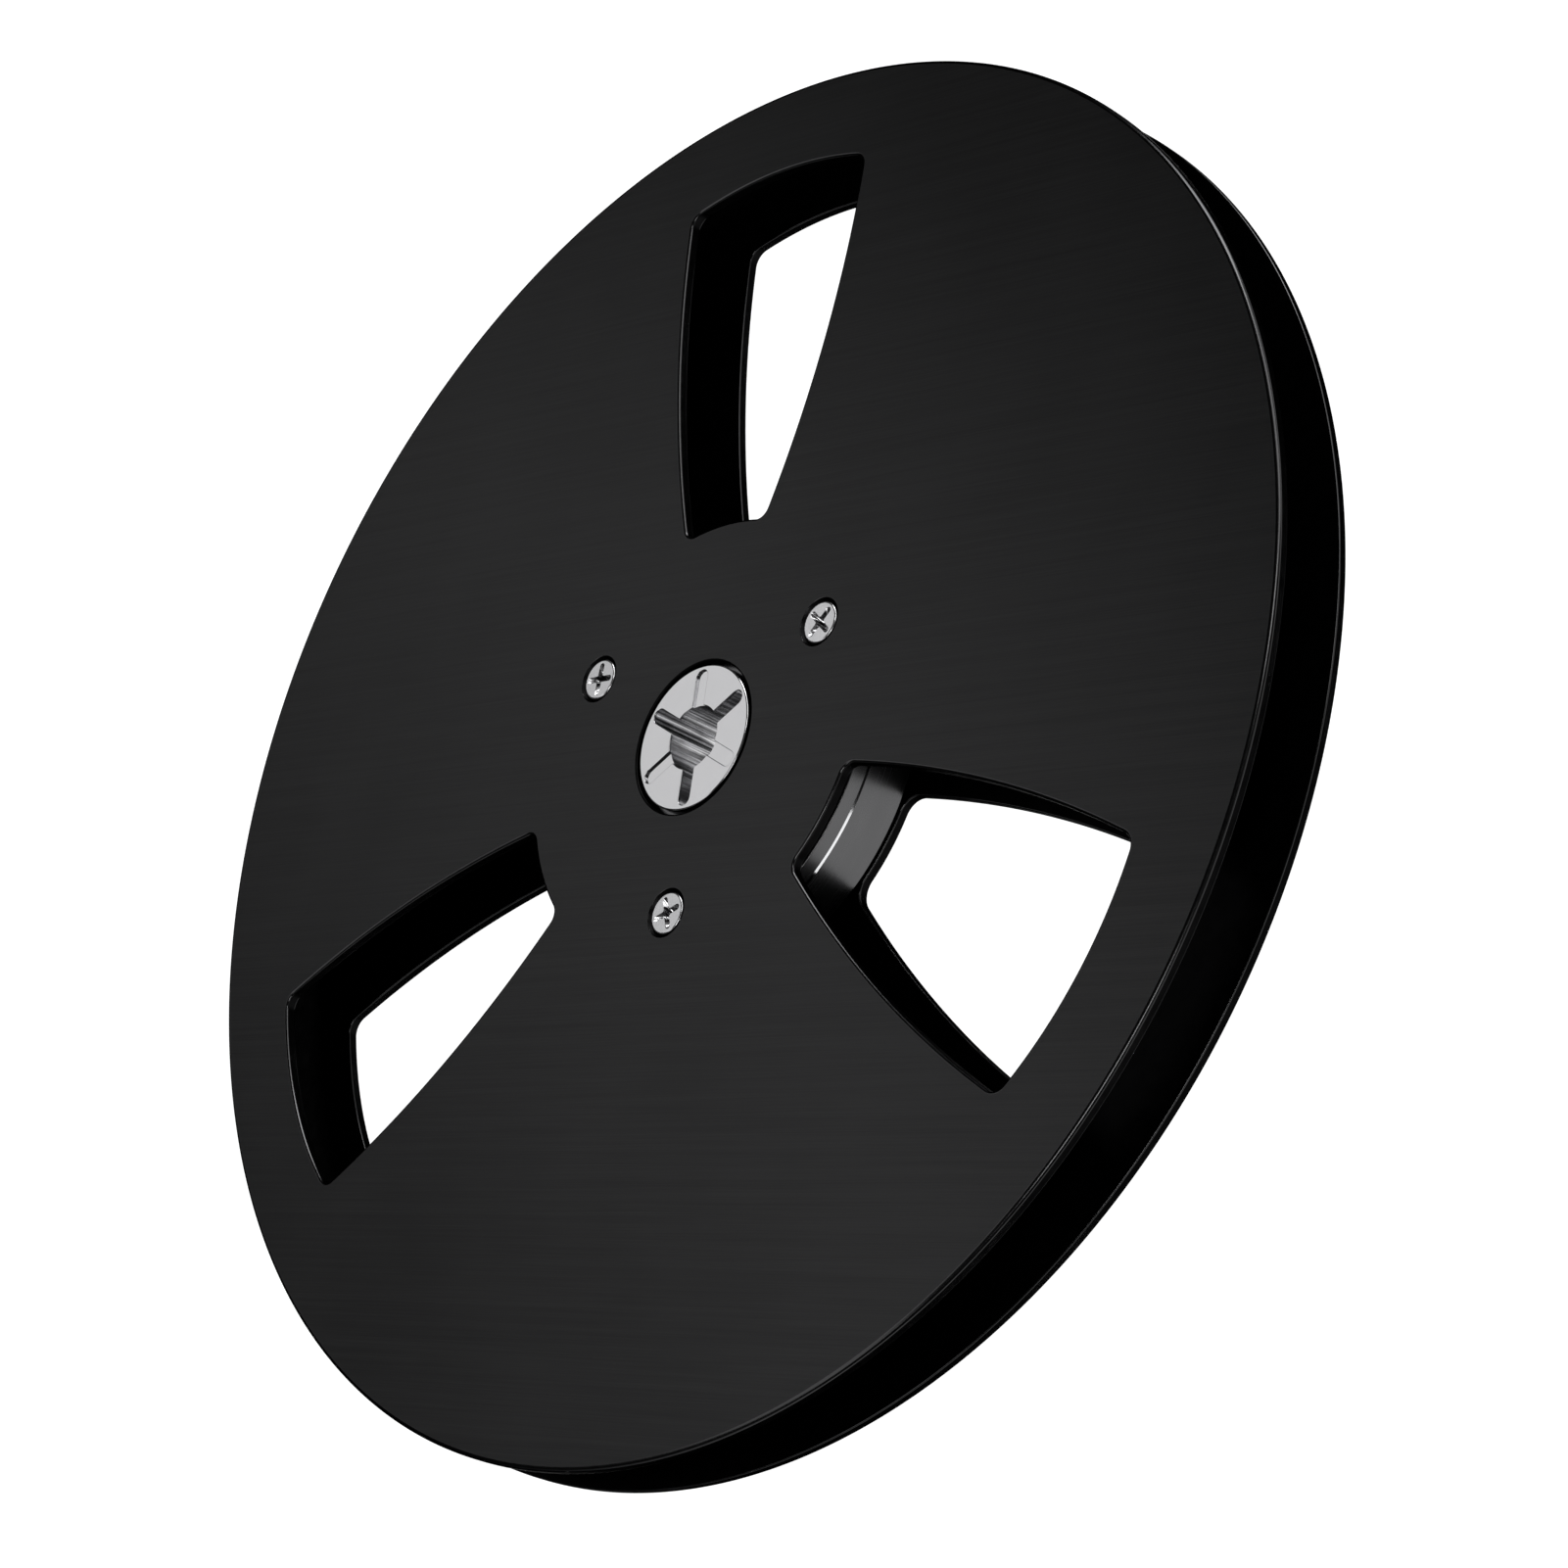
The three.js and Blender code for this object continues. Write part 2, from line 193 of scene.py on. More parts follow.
def flat(loops, height, up, finish=0):
    """The flat face between closed loops at one height: a Delaunay mesh of their points, kept where a
    ray along X from a triangle's middle crosses the loops an odd number of times."""
    inside_loops, nearness = 1, 1e-7
    line = np.concatenate(loops)
    starts = np.cumsum([0] + [len(loop) for loop in loops])
    after = np.concatenate([np.roll(np.arange(a, b), -1) for a, b in zip(starts, starts[1:])])
    pairs = np.stack([np.arange(len(line)), after], 1)
    scaled = [Vector((p.real, p.imag)) / MM for p in line]
    mesh = geometry.delaunay_2d_cdt(scaled, pairs.tolist(), [], inside_loops, nearness)
    faces, origin = mesh[2], mesh[3]
    first = np.array([o[0] for o in origin])
    triangles = first[np.array(faces)]
    centre = line[triangles].mean(axis=1)[:, None]
    a, b = line[pairs[:, 0]], line[pairs[:, 1]]
    spans = (a.imag > centre.imag) != (b.imag > centre.imag)
    rise = np.where(spans, b.imag - a.imag, 1)
    crosses = spans & (centre.real < a.real + (b.real - a.real) * (centre.imag - a.imag) / rise)
    triangles = triangles[crosses.sum(axis=1) % 2 == 1]
    points = np.stack([line.real, line.imag, np.full(len(line), height)], -1)
    normals = np.zeros_like(points)
    normals[:, 2] = up
    return points, normals, triangles, finish


def moved(sheets, centre=0, turn=0, rear=False):
    """Sheets turned about Z, moved across the reel and, for the rear side, turned over about X, which
    takes z to -z and y to -y. They are made about the reel's middle plane and end in the reel's frame."""
    cosine, sine = math.cos(turn), math.sin(turn)
    turned = np.array([[cosine, sine, 0], [-sine, cosine, 0], [0, 0, 1]])
    over = np.array([1, -1, -1] if rear else [1, 1, 1])
    place = np.array([centre.real, centre.imag, 0])
    up = np.array([0, 0, middle])
    return [((points @ turned + place) * over + up, normals @ turned * over, faces, finish)
            for points, normals, faces, finish in sheets]


def piece(name, node, sheets, finishes):
    """A mesh that stands for a CAD node: points that coincide are shared, each face is wound to agree
    with its normals, and those normals are kept, so flats stay flat up to their rounded edges."""
    same_place = 1e-4 * MM
    points = np.concatenate([sheet[0] for sheet in sheets])
    normals = np.concatenate([sheet[1] for sheet in sheets])
    _, first, shared = np.unique(np.round(points / same_place), axis=0, return_index=True,
                                 return_inverse=True)
    corners, faces, kinds = [], [], []
    start = 0
    for sheet_points, _, sheet_faces, finish in sheets:
        used = sheet_faces + start
        start += len(sheet_points)
        a, b, c = (points[used[:, i]] for i in (0, 1, 2))
        backwards = np.einsum("ij,ij->i", np.cross(b - a, c - a), normals[used[:, 0]]) < 0
        used[backwards] = used[backwards, ::-1]
        corners.append(normals[used].reshape(-1, 3))
        faces += shared.ravel()[used].tolist()
        kinds.append(np.full(len(used), finish))
    mesh = bpy.data.meshes.new(name)
    mesh.from_pydata(points[first].tolist(), [], faces)
    for finish in finishes:
        mesh.materials.append(finish)
    mesh.polygons.foreach_set("material_index", np.concatenate(kinds).astype(np.int32))
    mesh.polygons.foreach_set("use_smooth", np.ones(len(faces), bool))
    mesh.update()
    mesh.normals_split_custom_set(np.concatenate(corners).tolist())
    made = bpy.data.objects.new(name, mesh)
    bpy.context.collection.objects.link(made)
    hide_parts(node)
    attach(made, "root")
    return made


class Field:
    """A node socket that takes part in arithmetic: each operator adds a Math node."""

    def __init__(self, tree, socket):
        """Keeps the socket and the node tree that it is in."""
        self.tree, self.socket = tree, socket

    def node(self, kind, settings=None, output=0, **inputs):
        """Adds a node of a type, gives it its settings, then its sockets' values or links. A socket is
        called by its name, with _ for a space, or by its number, as in s0."""
        made = self.tree.nodes.new(kind)
        for key, value in (settings or {}).items():
            setattr(made, key, value)
        for key, value in inputs.items():
            name = key.replace("_", " ")
            socket = made.inputs[int(key[1:]) if key[1:].isdigit() else name]
            if isinstance(value, Field):
                self.tree.links.new(value.socket, socket)
            else:
                socket.default_value = value
        return Field(self.tree, made.outputs[output])

    def __add__(self, other):
        """Self + other, either way round."""
        return self.node("ShaderNodeMath", {"operation": "ADD"}, s0=self, s1=other)

    def __mul__(self, other):
        """Self times other, either way round."""
        return self.node("ShaderNodeMath", {"operation": "MULTIPLY"}, s0=self, s1=other)

    __radd__ = __add__
    __rmul__ = __mul__

    def ramp(self, low, high):
        """0 below low, 1 above high, and a smooth step between."""
        return self.node("ShaderNodeMapRange", {"interpolation_type": "SMOOTHSTEP", "clamp": True},
                         Value=self, From_Min=low, From_Max=high)


def finish_of(name, edge_tint=1.0):
    """A metal, its surface shader and a Field that reads the object's own coordinates. The tint scales
    what the metal reflects at a glancing angle."""
    material = bpy.data.materials.new(name)
    material.use_nodes = True
    tree = material.node_tree
    shader = tree.nodes["Principled BSDF"]
    shader.inputs["Metallic"].default_value = 1.0
    shader.inputs["Specular Tint"].default_value = (edge_tint, edge_tint, edge_tint, 1)
    place = Field(tree, tree.nodes.new("ShaderNodeTexCoord").outputs["Object"])
    return material, shader, place


def wire(field, shader, name):
    """Links a field to one of the shader's sockets."""
    field.tree.links.new(field.socket, shader.inputs[name])


def noise(place, along, across, up, turn=0.0, detail=2.0):
    """Noise with this many features a metre each way, its first direction turned about Z."""
    mapped = place.node("ShaderNodeMapping", {"vector_type": "TEXTURE"}, Vector=place,
                        Rotation=(0, 0, turn), Scale=(1 / along, 1 / across, 1 / up))
    return place.node("ShaderNodeTexNoise", Vector=mapped, Scale=1.0, Detail=detail)


def shade(field, dark, light):
    """A colour between two greys, as the field goes from 0 to 1. Both are a fiftieth bluer than grey."""
    bluer = 1.02
    return field.node("ShaderNodeMix", {"data_type": "RGBA"}, output=2, Factor=field,
                      s6=(dark, dark, dark * bluer, 1), s7=(light, light, light * bluer, 1))


def bumped(height, shader, strength, distance):
    """Leans the shader's normal by a height field: where it goes from 0 to 1 it rises by distance."""
    made = height.node("ShaderNodeBump", Strength=strength, Distance=distance, Height=height)
    wire(made, shader, "Normal")


brush_angle = 145 * DEGREE


def brushed_black():
    """Black anodised sheet over a straight brushed grain: fine lines about a tenth of a millimetre apart,
    broader streaks among them, and soft patches where the dye took a little differently."""
    material, shader, place = finish_of("brushed_black_anodised")
    lines = noise(place, 60, 9000, 60, brush_angle, detail=3)
    streaks = noise(place, 18, 1400, 18, brush_angle, detail=2)
    patches = noise(place, 45, 45, 45, detail=3)
    grain = lines * 0.6 + streaks * 0.4
    wire(shade((grain * 0.7 + patches * 0.3).ramp(0.3, 0.7), 0.029, 0.041), shader, "Base Color")
    wire(0.33 + grain * 0.04 + patches * 0.04, shader, "Roughness")
    bumped(grain, shader, 0.25, 0.004 * MM)
    return material


def smooth_black():
    """The same black on the rounded edges of the outer faces, where rounding over took the grain away."""
    material, shader, place = finish_of("smooth_black_anodised", edge_tint=0.0)
    patches = noise(place, 900, 900, 900, detail=3)
    wire(shade(patches, 0.035, 0.05), shader, "Base Color")
    wire(0.14 + patches * 0.08, shader, "Roughness")
    bumped(patches, shader, 0.1, 0.002 * MM)
    return material


def painted_shade_black():
    """Painted shade: a near-black, far darker than the anodising's own colour, on the inner faces, cut
    walls, holes and the far part of the rounded edges, where shade falls, with a faint mottle."""
    material, shader, place = finish_of("black_anodised_painted_shade", edge_tint=0.0)
    mottle = noise(place, 600, 600, 600, detail=4)
    wire(shade(mottle, 0.003, 0.008), shader, "Base Color")
    wire(0.3 + mottle * 0.15, shader, "Roughness")
    bumped(mottle, shader, 0.15, 0.003 * MM)
    return material


countersink_radius = head_radius + 0.44 * MM
hole_radius = 1.57 * MM
countersink_edge = 0.12 * MM


def flange_sheets(inset, hub_corner):
    """A flange above the middle plane: two flats, joined by a rounded edge along every outline."""
    top, bottom = half_thickness, half_thickness - flange_thickness

    def edge(round_over):
        """The outer edge rounded over, split where its lit part ends, then a straight wall and the inner
        arris.
        The outlines give the lit part the smooth black and the rest the painted-shade near-black.
        """
        centre = complex(-round_over, top - round_over)
        return [
            rounding(centre, round_over, 90, 90 - lit_rounding_degrees, 8),
            rounding(centre, round_over, 90 - lit_rounding_degrees, 0, 2),
            straight(complex(0, top - round_over), complex(0, bottom + arris_round)),
            rounding(complex(-arris_round, bottom + arris_round), arris_round, 0, -90),
        ]

    windows = [turned_by(window_path(inset, hub_corner), angle) for angle in window_angles]
    # Finishes per stretch: the lit part of a rounding and the arris are smooth black, the rest of the
    # rounding and the wall a near-black that is painted shade. The eye's edge is painted shade all round.
    outlines = [(ring(reel_radius, 540), edge(rim_edge_round), (1, 2, 2, 1))]
    outlines += [(ring(eye_radius, 180, void=-1), edge(eye_edge_round), (2, 2, 2, 2))]
    outlines += [(window, edge(window_edge_round), (1, 2, 2, 1)) for window in windows]

    # A countersink's lip ends leaning at 45 degrees. The cone starts at the same height, but 0.07 mm further
    # out from the hole's middle, so it leans a little less and a thin seam stays open between the two.
    slope = 1 / math.sqrt(2)
    lip = countersink_edge * math.tan(22.5 * DEGREE)
    cone_top = complex(-lip * slope, top - lip * slope)
    cone_end = complex(countersink_radius - hole_radius, top - countersink_radius + hole_radius)
    countersink = [
        rounding(complex(-lip, top - countersink_edge), countersink_edge, 90, 45),
        straight(cone_top, cone_end),
        straight(cone_end, complex(cone_end.real, bottom)),
    ]
    # A countersink's lip is smooth black; its cone and hole are painted shade.
    for angle in arm_angles:
        centre = screw_circle_radius * np.exp(1j * angle)
        outlines.append((ring(countersink_radius, 96, centre, void=-1), countersink, (1, 2, 2)))

    sheets, outer_lines, inner_lines = carried(outlines)
    # The outer face is brushed; the inner face is painted shade.
    return sheets + [flat(outer_lines, top, 1), flat(inner_lines, bottom, -1, 2)]


# Brushed black, smooth black, and a near-black that is painted shade.
flange_finishes = [brushed_black(), smooth_black(), painted_shade_black()]
insets_and_hub_corners = {"front": (0.0, 1.7 * MM), "rear": (0.4 * MM, 2.6 * MM)}
for side, (inset, hub_corner) in insets_and_hub_corners.items():
    sheets = moved(flange_sheets(inset, hub_corner), rear=side == "rear")
    made = piece(f"{side}_flange_disc", f"{side}_flange", sheets, flange_finishes)

# ---------------------------------------------------------------------------------------------------
# Hub drum: one piece of aluminium turned on a lathe, a drum for the tape between two collars that the
# flanges lie on. It is bored for the core, drilled for the screws and anodised a glossier black, and the
# small chamfer on the drum's front edge is glossier still.
# ---------------------------------------------------------------------------------------------------
flange_clearance = 0.01 * MM
front_collar_height = 1.96 * MM
drum_width = 6.33 * MM
half_hub = half_thickness - flange_thickness - flange_clearance
drum_top = half_hub - front_collar_height
drum_bottom = drum_top - drum_width
rear_collar_radius = drum_radius - 1.2 * MM
core_hole_radius = core_radius + 0.03 * MM
hub_edge = 0.12 * MM
screw_hole_radius = 1.49 * MM
screw_hole_mouth = 0.25 * MM


def mirrored(section):
    """A section's upper half, then the same below the middle plane, so that it runs down to the end."""
    lower = [(np.conj(line[::-1]), np.conj(out[::-1])) for line, out in reversed(section)]
    joint = straight(section[-1][0][-1], np.conj(section[-1][0][-1]))
    return section + [joint] + lower


def hub_sheets():
    """The drum's section carried round the axis, with a bore and three screw holes right through, between
    two flat ends. Its chamfer has the second finish."""
    front, drum, rear, edge = front_collar_radius, drum_radius, rear_collar_radius, hub_edge
    outside = [
        rounding(complex(front - edge, half_hub - edge), edge, 90, 0),
        straight(complex(front, half_hub - edge), complex(front, drum_top)),
        straight(complex(front, drum_top), complex(drum, drum_top - drum_chamfer)),
        straight(complex(drum, drum_top - drum_chamfer), complex(drum, drum_bottom + edge)),
        rounding(complex(drum - edge, drum_bottom + edge), edge, 0, -90),
        straight(complex(drum - edge, drum_bottom), complex(rear, drum_bottom)),
        straight(complex(rear, drum_bottom), complex(rear, edge - half_hub)),
        rounding(complex(rear - edge, edge - half_hub), edge, 0, -90),
    ]
    bore = [straight(complex(0, half_hub), complex(0, -half_hub))]
    mouth = complex(0, half_hub - screw_hole_mouth)
    drilled = mirrored([straight(complex(-screw_hole_mouth, half_hub), mouth)])
    axis = (np.zeros(540, complex), ring(1, 540)[1])
    outlines = [(axis, outside, (0, 0, 1, 0, 0, 0, 0, 0))]
    outlines += [(ring(core_hole_radius, 180, void=-1), bore, (0,))]
    for angle in arm_angles:
        centre = screw_circle_radius * np.exp(1j * angle)
        outlines.append((ring(screw_hole_radius, 48, centre, void=-1), drilled, (0, 0, 0)))
    sheets, front_lines, rear_lines = carried(outlines)
    return sheets + [flat(front_lines, half_hub, 1), flat(rear_lines, -half_hub, -1)]


def turned_black(name, roughness):
    """Black over the faint rings that the lathe tool leaves round the axis. The roughness given is the
    least of it: the rings and patches add to it."""
    material, shader, place = finish_of(name, edge_tint=0.4)
    rings = noise(place, 20, 20, 14000, detail=2)
    patches = noise(place, 120, 120, 400, detail=3)
    wire(shade(patches, 0.096, 0.116), shader, "Base Color")
    wire(roughness + rings * 0.05 + patches * 0.04, shader, "Roughness")
    bumped(rings, shader, 0.12, 0.002 * MM)
    return material


hub_finishes = [
    turned_black("turned_black_anodised", roughness=0.22),
    turned_black("cut_chamfer_black", roughness=0.06),
]
hub = piece("hub_drum_turned", "hub_drum", moved(hub_sheets()), hub_finishes)

# ---------------------------------------------------------------------------------------------------
# Spindle core: a bright nickel-plated bush pressed into the hub, a hair below both faces. Three slots run
# through it for a splined spindle, and three shallow grooves are cut in each end between them.
# ---------------------------------------------------------------------------------------------------
core_recess = 0.03 * MM
half_core = half_thickness - core_recess
bore_radius = 4.1 * MM
half_slot = 1.95 * MM / 2
slot_end_radius = core_radius - 0.55 * MM
groove_depth = 0.3 * MM
core_edge_round = 0.2 * MM
bore_edge_round = 0.08 * MM
slot_lip = 0.12 * MM


def slot_path(angle):
    """Half a slot's lip, its two sides and round end, then the other lip, for a slot along an angle: the
    lips are arcs that touch both the bore and the slot's side."""
    lip = complex(math.sqrt((bore_radius + slot_lip) ** 2 - (half_slot + slot_lip) ** 2),
                  half_slot + slot_lip)
    reach = np.angle(lip)
    end = slot_end_radius - half_slot
    stretch = joined(
        arc(np.conj(lip), slot_lip, math.pi - reach, math.pi / 2, 6),
        (np.linspace(lip.real, end, 6, endpoint=False) - 1j * half_slot, np.full(6, 1j)),
        arc(end, half_slot, -math.pi / 2, math.pi / 2, 24, void=-1),
        (np.linspace(end, lip.real, 6, endpoint=False) + 1j * half_slot, np.full(6, -1j)),
        arc(lip, slot_lip, -math.pi / 2, reach - math.pi, 6),
    )
    return turned_by(stretch, angle), reach


def bore_path(slots):
    """The bore's outline, anticlockwise, with a slot at each angle. Where there is none, its arc keeps
    the points that a slot there would have joined, so that two such outlines share them."""
    stretches = []
    for angle in np.sort(np.concatenate([arm_angles, window_angles])):
        slot, reach = slot_path(angle)
        if np.any(np.isclose(angle, slots)):
            stretches.append(slot)
        else:
            stretches.append(arc(0, bore_radius, angle - reach, angle + reach, 12, void=-1))
        stretches.append(arc(0, bore_radius, angle + reach, angle + math.pi / 3 - reach, 24, void=-1))
    return joined(*stretches)


def core_sheets():
    """The bush's outside, its bore with three slots, and at each end the same bore with six, down to the
    floors of the shallow grooves."""
    turn, edge = core_edge_round, bore_edge_round
    floor = half_core - groove_depth
    outside = mirrored([rounding(complex(core_radius - turn, half_core - turn), turn, 90, 0)])
    lip = rounding(complex(-edge, half_core - edge), edge, 90, 0)
    groove_wall = straight(complex(0, half_core - edge), complex(0, floor))
    axis = (np.zeros(360, complex), ring(1, 360)[1])
    mouth = bore_path(np.concatenate([arm_angles, window_angles]))
    through = bore_path(arm_angles)
    sheets = [band(axis, stretch) for stretch in outside]
    # The through bore and slots take the second finish, with its painted shade and reflection.
    sheets.append(band(through, straight(complex(0, floor), complex(0, -floor)), 1))
    rims = [(core_radius - turn) * axis[1], mouth[0] - mouth[1] * edge]
    ends = [band(mouth, lip), band(mouth, groove_wall), flat(rims, half_core, 1)]
    for angle in window_angles:
        slot, reach = slot_path(angle)
        bore = arc(0, bore_radius, angle + reach, angle - reach, 12)[0]
        ends.append(flat([np.concatenate([slot[0], bore])], floor, 1))
    below = [(points * (1, 1, -1), normals * (1, 1, -1), faces, finish)
             for points, normals, faces, finish in ends]
    return sheets + ends + below


def bright_plate():
    """Nickel over a fine ground surface: nearly a mirror, with hair lines and a little haze."""
    material, shader, place = finish_of("bright_nickel_plate")
    lines = noise(place, 150, 12000, 2000, 20 * DEGREE, detail=3)
    haze = noise(place, 350, 350, 350, detail=4)
    wire(shade(haze, 0.37, 0.41), shader, "Base Color")
    wire(0.07 + lines * 0.04 + haze * 0.05, shader, "Roughness")
    bumped(lines, shader, 0.08, 0.002 * MM)
    return material


def drilled_plate_painted_shade():
    """Thin plating inside the bore and slots, over the streaks that the tools left along the axis. The
    streaks are painted far darker and lighter than the plate's own grey: painted shade and painted
    reflection in the bore and slots.
    """
    material, shader, place = finish_of("drilled_nickel_painted_shade", edge_tint=0.5)
    streaks = noise(place, 4500, 4500, 60, detail=3)
    stain_and_shade = noise(place, 260, 260, 200, detail=3)
    wire(shade((streaks * 0.6 + stain_and_shade * 0.4).ramp(0.38, 0.62), 0.11, 0.8), shader, "Base Color")
    wire(0.16 + stain_and_shade * 0.12, shader, "Roughness")
    bumped(streaks, shader, 0.2, 0.004 * MM)
    return material


core_finishes = [bright_plate(), drilled_plate_painted_shade()]
core = piece("spindle_core_bush", "spindle_core", moved(core_sheets()), core_finishes)

# ---------------------------------------------------------------------------------------------------
# Screws: six small countersunk steel screws with a cross recess, zinc plated, three to a side. They go
# through the flange into the hub, and each was left at the turn where it came tight.
# ---------------------------------------------------------------------------------------------------
head_recess = front_face - screw_high.z
screw_length = screw_high.z - screw_low.z
shank_radius = 1.45 * MM
head_flat_radius = 2.4 * MM
head_shoulder = 0.3 * MM
point_chamfer = 0.4 * MM
cross_half_width = 0.4 * MM
cross_half_span = 2.15 * MM
cross_corner = 0.3 * MM
cross_floor_half_width = 0.3 * MM
cross_floor_half_span = 0.8 * MM
cross_floor_corner = 0.15 * MM
cross_depth = 1.3 * MM


def cross_path(half_span, half_width, corner):
    """A plus sign, anticlockwise: each arm ends in a half circle, and the inner corners are rounded."""
    end = half_span - half_width
    inner = half_width + corner
    arm = joined(
        (np.linspace(inner, end, 6, endpoint=False) - 1j * half_width, np.full(6, 1j)),
        arc(end, half_width, -math.pi / 2, math.pi / 2, 12, void=-1),
        (np.linspace(end, inner, 6, endpoint=False) + 1j * half_width, np.full(6, -1j)),
        arc(complex(inner, inner), corner, -math.pi / 2, -math.pi, 8),
    )
    return joined(*(turned_by(arm, quarter * math.pi / 2) for quarter in range(4)))


def screw_sheets():
    """The head's rounded flat, cone, shank and point carried round the screw's axis, and a cross whose
    outline shrinks from the head down to the recess's floor. The wall's normals lean out by the way from
    mouth to floor and up by how far the outline shrinks for each step down."""
    top = half_thickness - head_recess
    point = top - screw_length
    widest = top - head_shoulder
    cone_end = widest - (head_radius - shank_radius)
    shoulder = head_radius - head_flat_radius
    outside = [
        rounding(complex(head_radius - shoulder, top - shoulder), shoulder, 90, 0),
        straight(complex(head_radius, top - shoulder), complex(head_radius, widest)),
        straight(complex(head_radius, widest), complex(shank_radius, cone_end)),
        straight(complex(shank_radius, cone_end), complex(shank_radius, point + point_chamfer)),
        straight(complex(shank_radius, point + point_chamfer),
                 complex(shank_radius - point_chamfer, point)),
    ]
    axis = (np.zeros(96, complex), ring(1, 96)[1])
    mouth = cross_path(cross_half_span, cross_half_width, cross_corner)
    floor = cross_path(cross_floor_half_span, cross_floor_half_width, cross_floor_corner)
    sheets = [band(axis, stretch) for stretch in outside]
    sheets.append(flat([head_flat_radius * axis[1], mouth[0]], top, 1))
    sheets.append(flat([floor[0]], top - cross_depth, 1))
    sheets.append(flat([(shank_radius - point_chamfer) * axis[1]], point, -1))
    wall = np.stack([mouth[0], floor[0]])
    height = np.array([[top], [top - cross_depth]]) + 0 * wall.real
    points = np.stack([wall.real, wall.imag, height], -1)
    out = np.broadcast_to(mouth[1], wall.shape)
    drop = np.abs(mouth[0] - floor[0]) / cross_depth + 0 * wall.real
    normals = np.stack([out.real, out.imag, drop], -1)
    normals /= np.linalg.norm(normals, axis=-1, keepdims=True)
    columns = wall.shape[1]
    index = np.arange(2 * columns).reshape(2, columns)
    after = np.roll(index, -1, axis=1)
    quads = np.stack([index[0], after[0], after[1], index[1]], -1)
    # The recess's walls take the second finish, with its painted shade; its floor keeps the plain zinc.
    sheets.append((points.reshape(-1, 3), normals.reshape(-1, 3), quads, 1))
    return sheets


def zinc_plate():
    """Bright zinc on steel: clear, a little grey, with faint clouds and driver marks."""
    material, shader, place = finish_of("bright_zinc_plate")
    clouds = noise(place, 700, 700, 700, detail=4)
    scratches = noise(place, 500, 9000, 3000, 70 * DEGREE, detail=2)
    wire(shade(clouds, 0.42, 0.54), shader, "Base Color")
    wire(0.16 + clouds * 0.1 + scratches * 0.05, shader, "Roughness")
    bumped(scratches * 0.5 + clouds * 0.5, shader, 0.12, 0.003 * MM)
    return material


def recess_zinc_painted_shade():
    """The same zinc on the cross recess's walls, painted darker in blotches: painted shade down in the
    recess, falling well below the zinc's own grey.
    """
    material, shader, place = finish_of("zinc_plate_painted_recess_shade", edge_tint=0.5)
    recess_blotches = noise(place, 1600, 1600, 900, detail=3)
    wire(shade(recess_blotches.ramp(0.42, 0.58), 0.05, 0.55), shader, "Base Color")
    wire(0.2 + recess_blotches * 0.1, shader, "Roughness")
    bumped(recess_blotches, shader, 0.15, 0.004 * MM)
    return material


recess_turns = {"front": (17, 26, 18), "rear": (52, 71, 8)}
screw_finishes = [zinc_plate(), recess_zinc_painted_shade()]
for side, turns in recess_turns.items():
    for number, (angle, turn) in enumerate(zip(arm_angles, turns), start=1):
        centre = complex(screw_circle_radius * np.exp(1j * angle))
        sheets = moved(screw_sheets(), centre, turn * DEGREE + angle, rear=side == "rear")
        made = piece(f"{side}_screw_{number}_steel", f"{side}_screw_{number}", sheets, screw_finishes)

# ---------------------------------------------------------------------------------------------------
# Stage: a white light table inside a white surround, one long soft box that the faces reflect, four
# smaller lamps that draw the thin lights along the edges, and four dim low ones that show the reel from
# its other sides. The camera looks down at the front from one side.
# ---------------------------------------------------------------------------------------------------
scene = bpy.context.scene
scene.view_settings.view_transform = "Standard"

table_reach = 4.0
table_below = 0.05 * MM
surround_height = 2.5
table_grey = 0.2
table_glow = 1.04
sky_glow = 0.035


def glowing_white():
    """A plain pale surface that gives off its own even white light."""
    material = bpy.data.materials.new("white_table_top")
    material.use_nodes = True
    shader = material.node_tree.nodes["Principled BSDF"]
    shader.inputs["Base Color"].default_value = (table_grey, table_grey, table_grey, 1)
    shader.inputs["Emission Color"].default_value = (1, 1, 1, 1)
    shader.inputs["Emission Strength"].default_value = table_glow
    return material


def backdrop(name, points, faces, material):
    """A staged mesh just below the height of the rear face."""
    mesh = bpy.data.meshes.new(name)
    mesh.from_pydata(points, [], faces)
    mesh.materials.append(material)
    made = bpy.data.objects.new(name, mesh)
    made.location.z = rear_face - table_below
    bpy.context.collection.objects.link(made)
    return made


white = glowing_white()
square = [(x * table_reach, y * table_reach, 0) for x, y in ((-1, -1), (1, -1), (1, 1), (-1, 1))]
backdrop("light_table", square, [(0, 1, 2, 3)], white)

# The surround is seen behind the reel but lights nothing, so the reel's finishes don't change with it.
upright = straight(complex(0, surround_height), complex(0, 0))
wall_points, _, wall_faces, _ = band(ring(table_reach, 96), upright)
surround = backdrop("white_surround", wall_points.tolist(), wall_faces.tolist(), white)
surround.visible_glossy = False
surround.visible_diffuse = False

world = bpy.data.worlds.new("studio")
world.use_nodes = True
world.node_tree.nodes["Background"].inputs["Color"].default_value = (1, 1, 1, 1)
world.node_tree.nodes["Background"].inputs["Strength"].default_value = sky_glow
scene.world = world

lamp_distance = 0.9


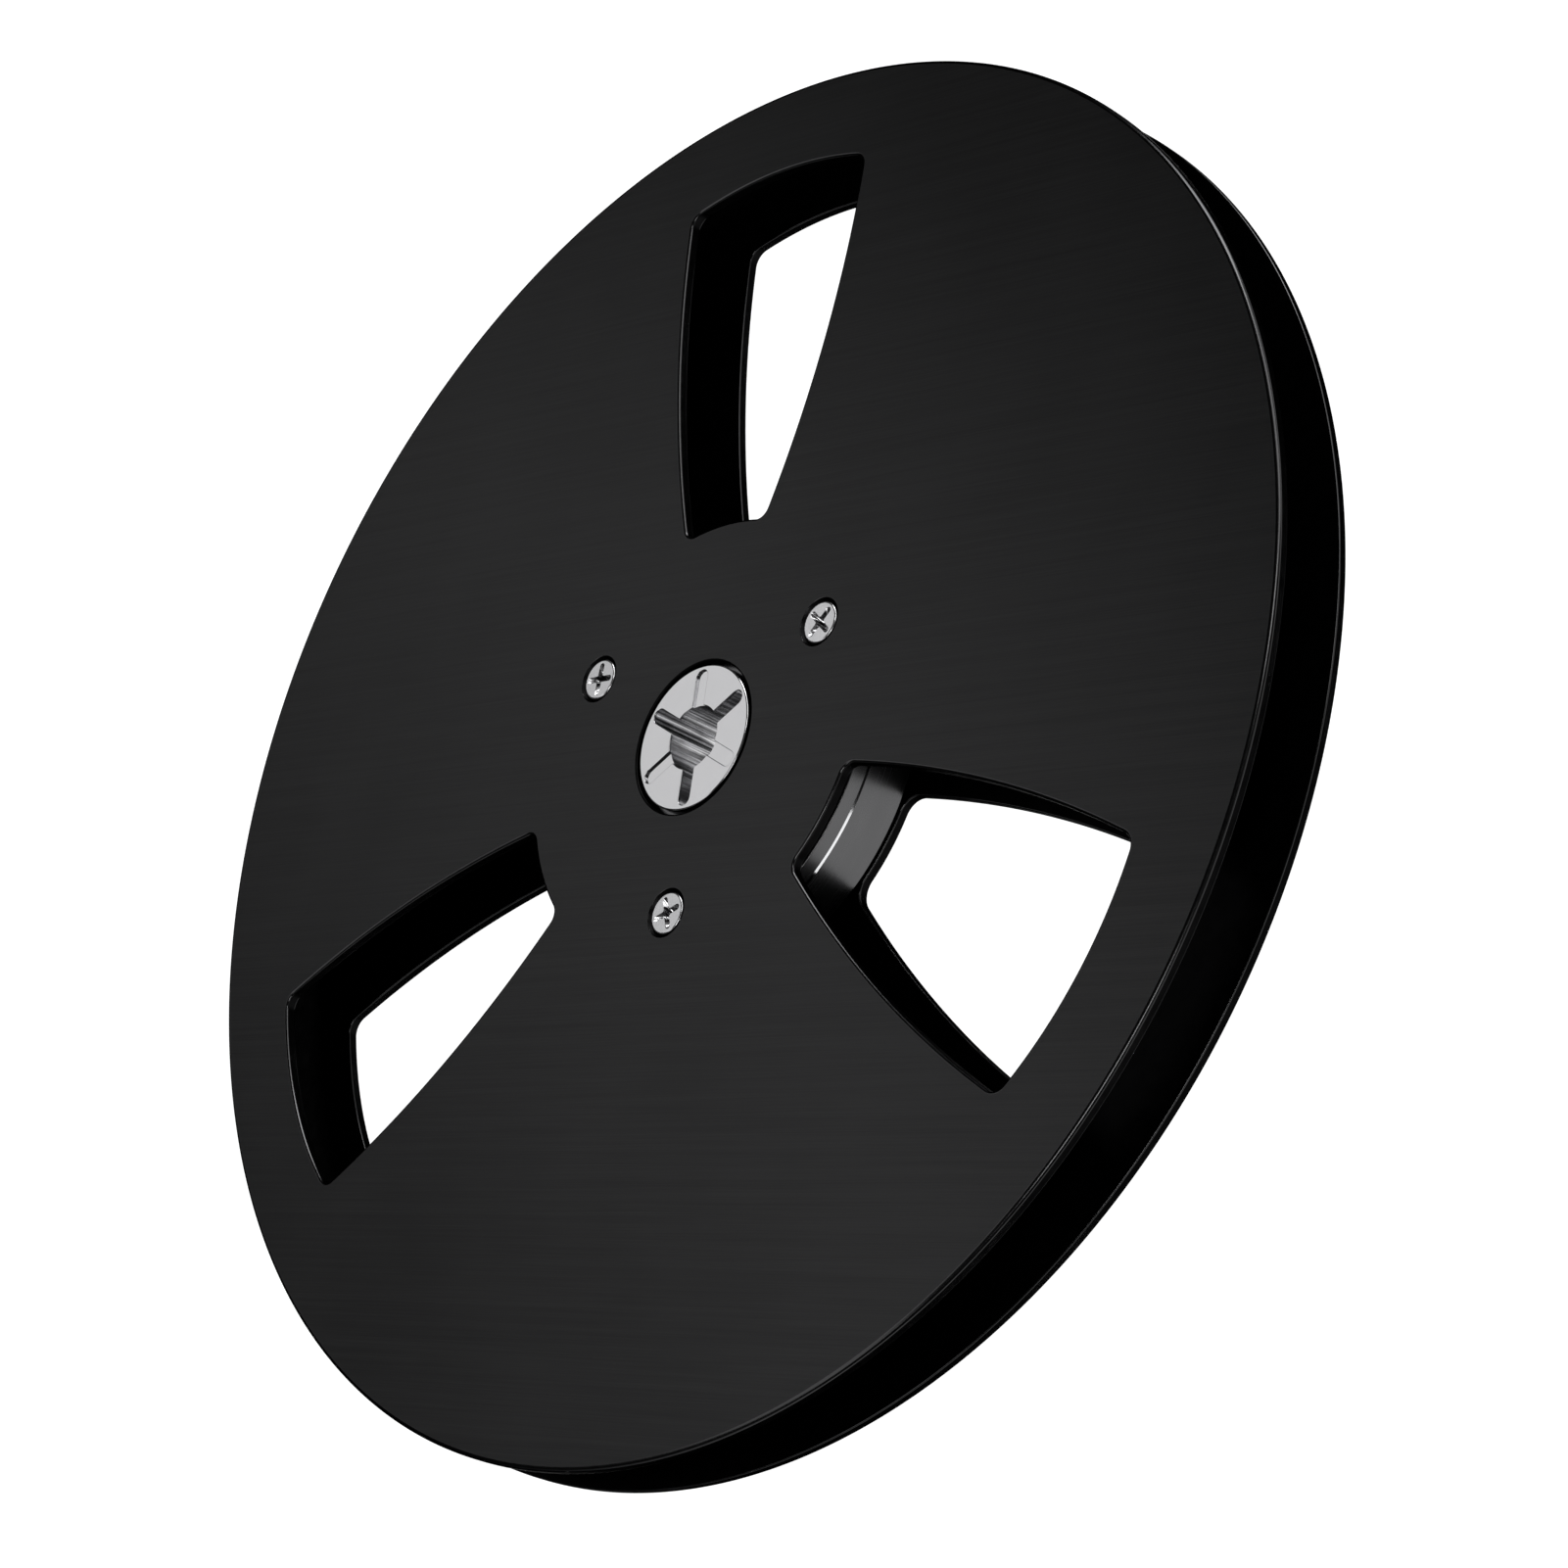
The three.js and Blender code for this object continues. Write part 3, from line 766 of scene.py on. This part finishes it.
def soft_box(name, azimuth, elevation, width, height, radiance, roll=0.0):
    """A rectangular lamp that faces the reel's origin from a direction given in degrees: it stands at
    distance (cos a cos e, sin a cos e, sin e). Its power is radiance times pi times its area."""
    around, above = azimuth * DEGREE, elevation * DEGREE
    out = Vector((math.cos(around) * math.cos(above), math.sin(around) * math.cos(above), math.sin(above)))
    lamp = bpy.data.lights.new(name, "AREA")
    lamp.shape = "RECTANGLE"
    lamp.size = width
    lamp.size_y = height
    lamp.energy = radiance * math.pi * width * height
    made = bpy.data.objects.new(name, lamp)
    made.location = out * lamp_distance
    made.rotation_mode = "QUATERNION"
    made.rotation_quaternion = out.to_track_quat("Z", "Y") @ Quaternion((0, 0, 1), roll * DEGREE)
    made.visible_camera = False
    bpy.context.collection.objects.link(made)


soft_box("long_soft_box", azimuth=167.3, elevation=55.2, width=0.24, height=1.6, radiance=1.36, roll=-82)
soft_box("edge_lamp_left", azimuth=284, elevation=50, width=0.42, height=0.15, radiance=9.0)
soft_box("edge_lamp_right", azimuth=0, elevation=46, width=0.2, height=0.24, radiance=6.0)
soft_box("rim_lamp", azimuth=50, elevation=16, width=0.36, height=0.5, radiance=9.0)
soft_box("rim_fill", azimuth=20, elevation=24, width=0.55, height=0.5, radiance=2.8)
soft_box("low_fill_far", azimuth=138, elevation=15, width=0.6, height=0.2, radiance=0.14)
soft_box("low_fill_near", azimuth=315, elevation=13, width=0.8, height=0.3, radiance=0.35)
soft_box("low_fill_left", azimuth=205, elevation=8, width=0.9, height=0.25, radiance=0.35)
soft_box("low_fill_right", azimuth=88, elevation=7, width=0.5, height=0.2, radiance=0.35)

camera_data = bpy.data.cameras.new("camera")
camera_data.sensor_width = 36
camera_data.lens = 91.04
camera = bpy.data.objects.new("camera", camera_data)
bpy.context.collection.objects.link(camera)
camera_place = Vector((0.21062, -0.31320, front_face + 0.28976))
camera_target = Vector((0.01058, -0.01647, front_face))
camera_roll = 64.73 * DEGREE
camera.location = camera_place
camera.rotation_mode = "QUATERNION"
facing = (camera_target - camera_place).to_track_quat("-Z", "Y")
camera.rotation_quaternion = facing @ Quaternion((0, 0, 1), -camera_roll)
scene.camera = camera
